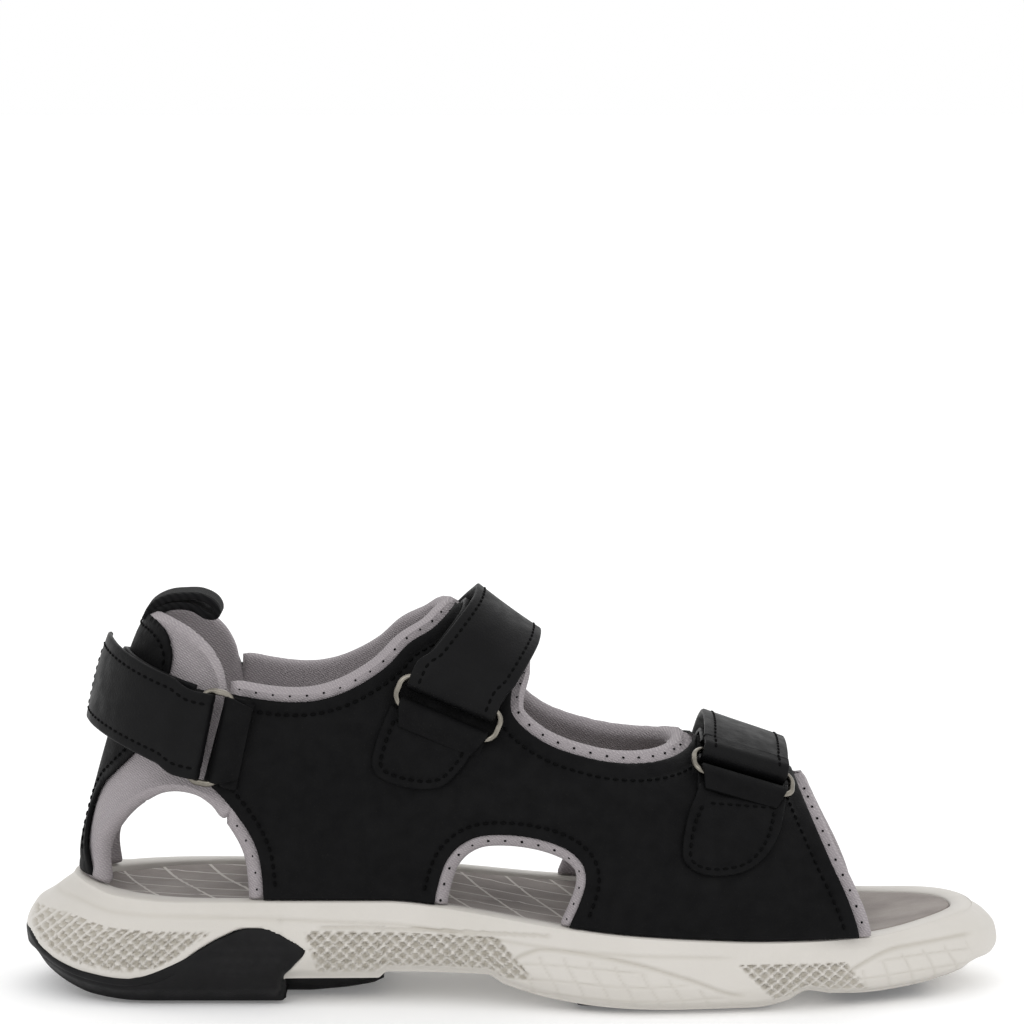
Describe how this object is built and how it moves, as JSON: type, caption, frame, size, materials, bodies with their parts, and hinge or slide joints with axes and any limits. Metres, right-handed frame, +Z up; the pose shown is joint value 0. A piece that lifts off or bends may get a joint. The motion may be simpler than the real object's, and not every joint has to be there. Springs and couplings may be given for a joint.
{
  "type": "strappy sport sandal",
  "caption": "Open sport sandal for a right foot: light foam sole, black rubber heel, dark upper with grey padded lining and hook-and-loop straps through metal rings.",
  "frame": {"origin": "centre of the ground rectangle under the sole, on the floor", "axes": "+X towards the toes, +Y towards the inner (big toe) side, +Z up"},
  "size_m": [0.27, 0.0979, 0.1112],
  "materials": {
    "midsole_foam": "cream moulded EVA foam, satin",
    "outsole_rubber": "black moulded rubber, satin",
    "insole_board": "fibre board, matte",
    "footbed_cover": "grey-brown matte cover",
    "upper_synthetic": "black synthetic nubuck, matte",
    "strap_synthetic": "dark synthetic leather, low sheen",
    "lining_mesh": "grey padded mesh",
    "pull_webbing": "black woven webbing",
    "ring_nickel": "polished nickel",
    "loop_tape": "black loop pile",
    "hook_tape": "black moulded hooks"
  },
  "bodies": {
    "sandal": {"midsole": "midsole_foam", "heel_outsole": "outsole_rubber", "forefoot_tread": "outsole_rubber", "toe_tread": "outsole_rubber", "insole_board": "insole_board", "footbed": "footbed_cover", "lateral_quarter": "upper_synthetic", "medial_quarter": "upper_synthetic", "heel_counter": "upper_synthetic", "lateral_lining": "lining_mesh", "medial_lining": "lining_mesh", "heel_lining": "lining_mesh", "heel_strap": "strap_synthetic", "heel_ring_tab": "upper_synthetic", "heel_loop_patch": "loop_tape", "instep_strap": "strap_synthetic", "instep_ring_tab": "upper_synthetic", "instep_loop_patch": "loop_tape", "toe_strap": "strap_synthetic", "toe_ring_tab": "upper_synthetic", "toe_loop_patch": "loop_tape"},
    "heel_closure": {"heel_flap": "strap_synthetic", "heel_hook_patch": "hook_tape"},
    "heel_loop_ring": {"heel_ring": "ring_nickel"},
    "instep_closure": {"instep_flap": "strap_synthetic", "instep_hook_patch": "hook_tape"},
    "instep_loop_ring": {"instep_ring": "ring_nickel"},
    "toe_closure": {"toe_flap": "strap_synthetic", "toe_hook_patch": "hook_tape"},
    "toe_loop_ring": {"toe_ring": "ring_nickel"},
    "pull_loop": {"pull_tab": "pull_webbing"}
  },
  "joints": [
    {"name": "heel_closure_peel", "type": "hinge", "parent": "sandal", "child": "heel_closure", "pos_m": [-0.08922, -0.03674, 0.07518], "axis": [0.2025, 0.0353, 0.9786], "range_deg": [0, 130]},
    {"name": "heel_ring_swing", "type": "hinge", "parent": "sandal", "child": "heel_loop_ring", "pos_m": [-0.07737, -0.03455, 0.07265], "axis": [0.2025, 0.0353, 0.9786], "range_deg": [-5, 5]},
    {"name": "instep_closure_peel", "type": "hinge", "parent": "sandal", "child": "instep_closure", "pos_m": [-0.01421, -0.03342, 0.08873], "axis": [0.922, -0.0713, -0.3806], "range_deg": [0, 130]},
    {"name": "instep_ring_swing", "type": "hinge", "parent": "sandal", "child": "instep_loop_ring", "pos_m": [-0.01882, -0.03258, 0.07739], "axis": [0.922, -0.0713, -0.3806], "range_deg": [-5, 5]},
    {"name": "toe_closure_peel", "type": "hinge", "parent": "sandal", "child": "toe_closure", "pos_m": [0.06439, -0.01826, 0.06866], "axis": [0.9449, 0.128, -0.3014], "range_deg": [0, 130]},
    {"name": "toe_ring_swing", "type": "hinge", "parent": "sandal", "child": "toe_loop_ring", "pos_m": [0.06266, -0.02661, 0.05969], "axis": [0.9449, 0.128, -0.3014], "range_deg": [-5, 5]},
    {"name": "pull_loop_lift", "type": "hinge", "parent": "sandal", "child": "pull_loop", "pos_m": [-0.1018, 0, 0.1016], "axis": [0, -1, 0], "range_deg": [0, 100]}
  ]
}
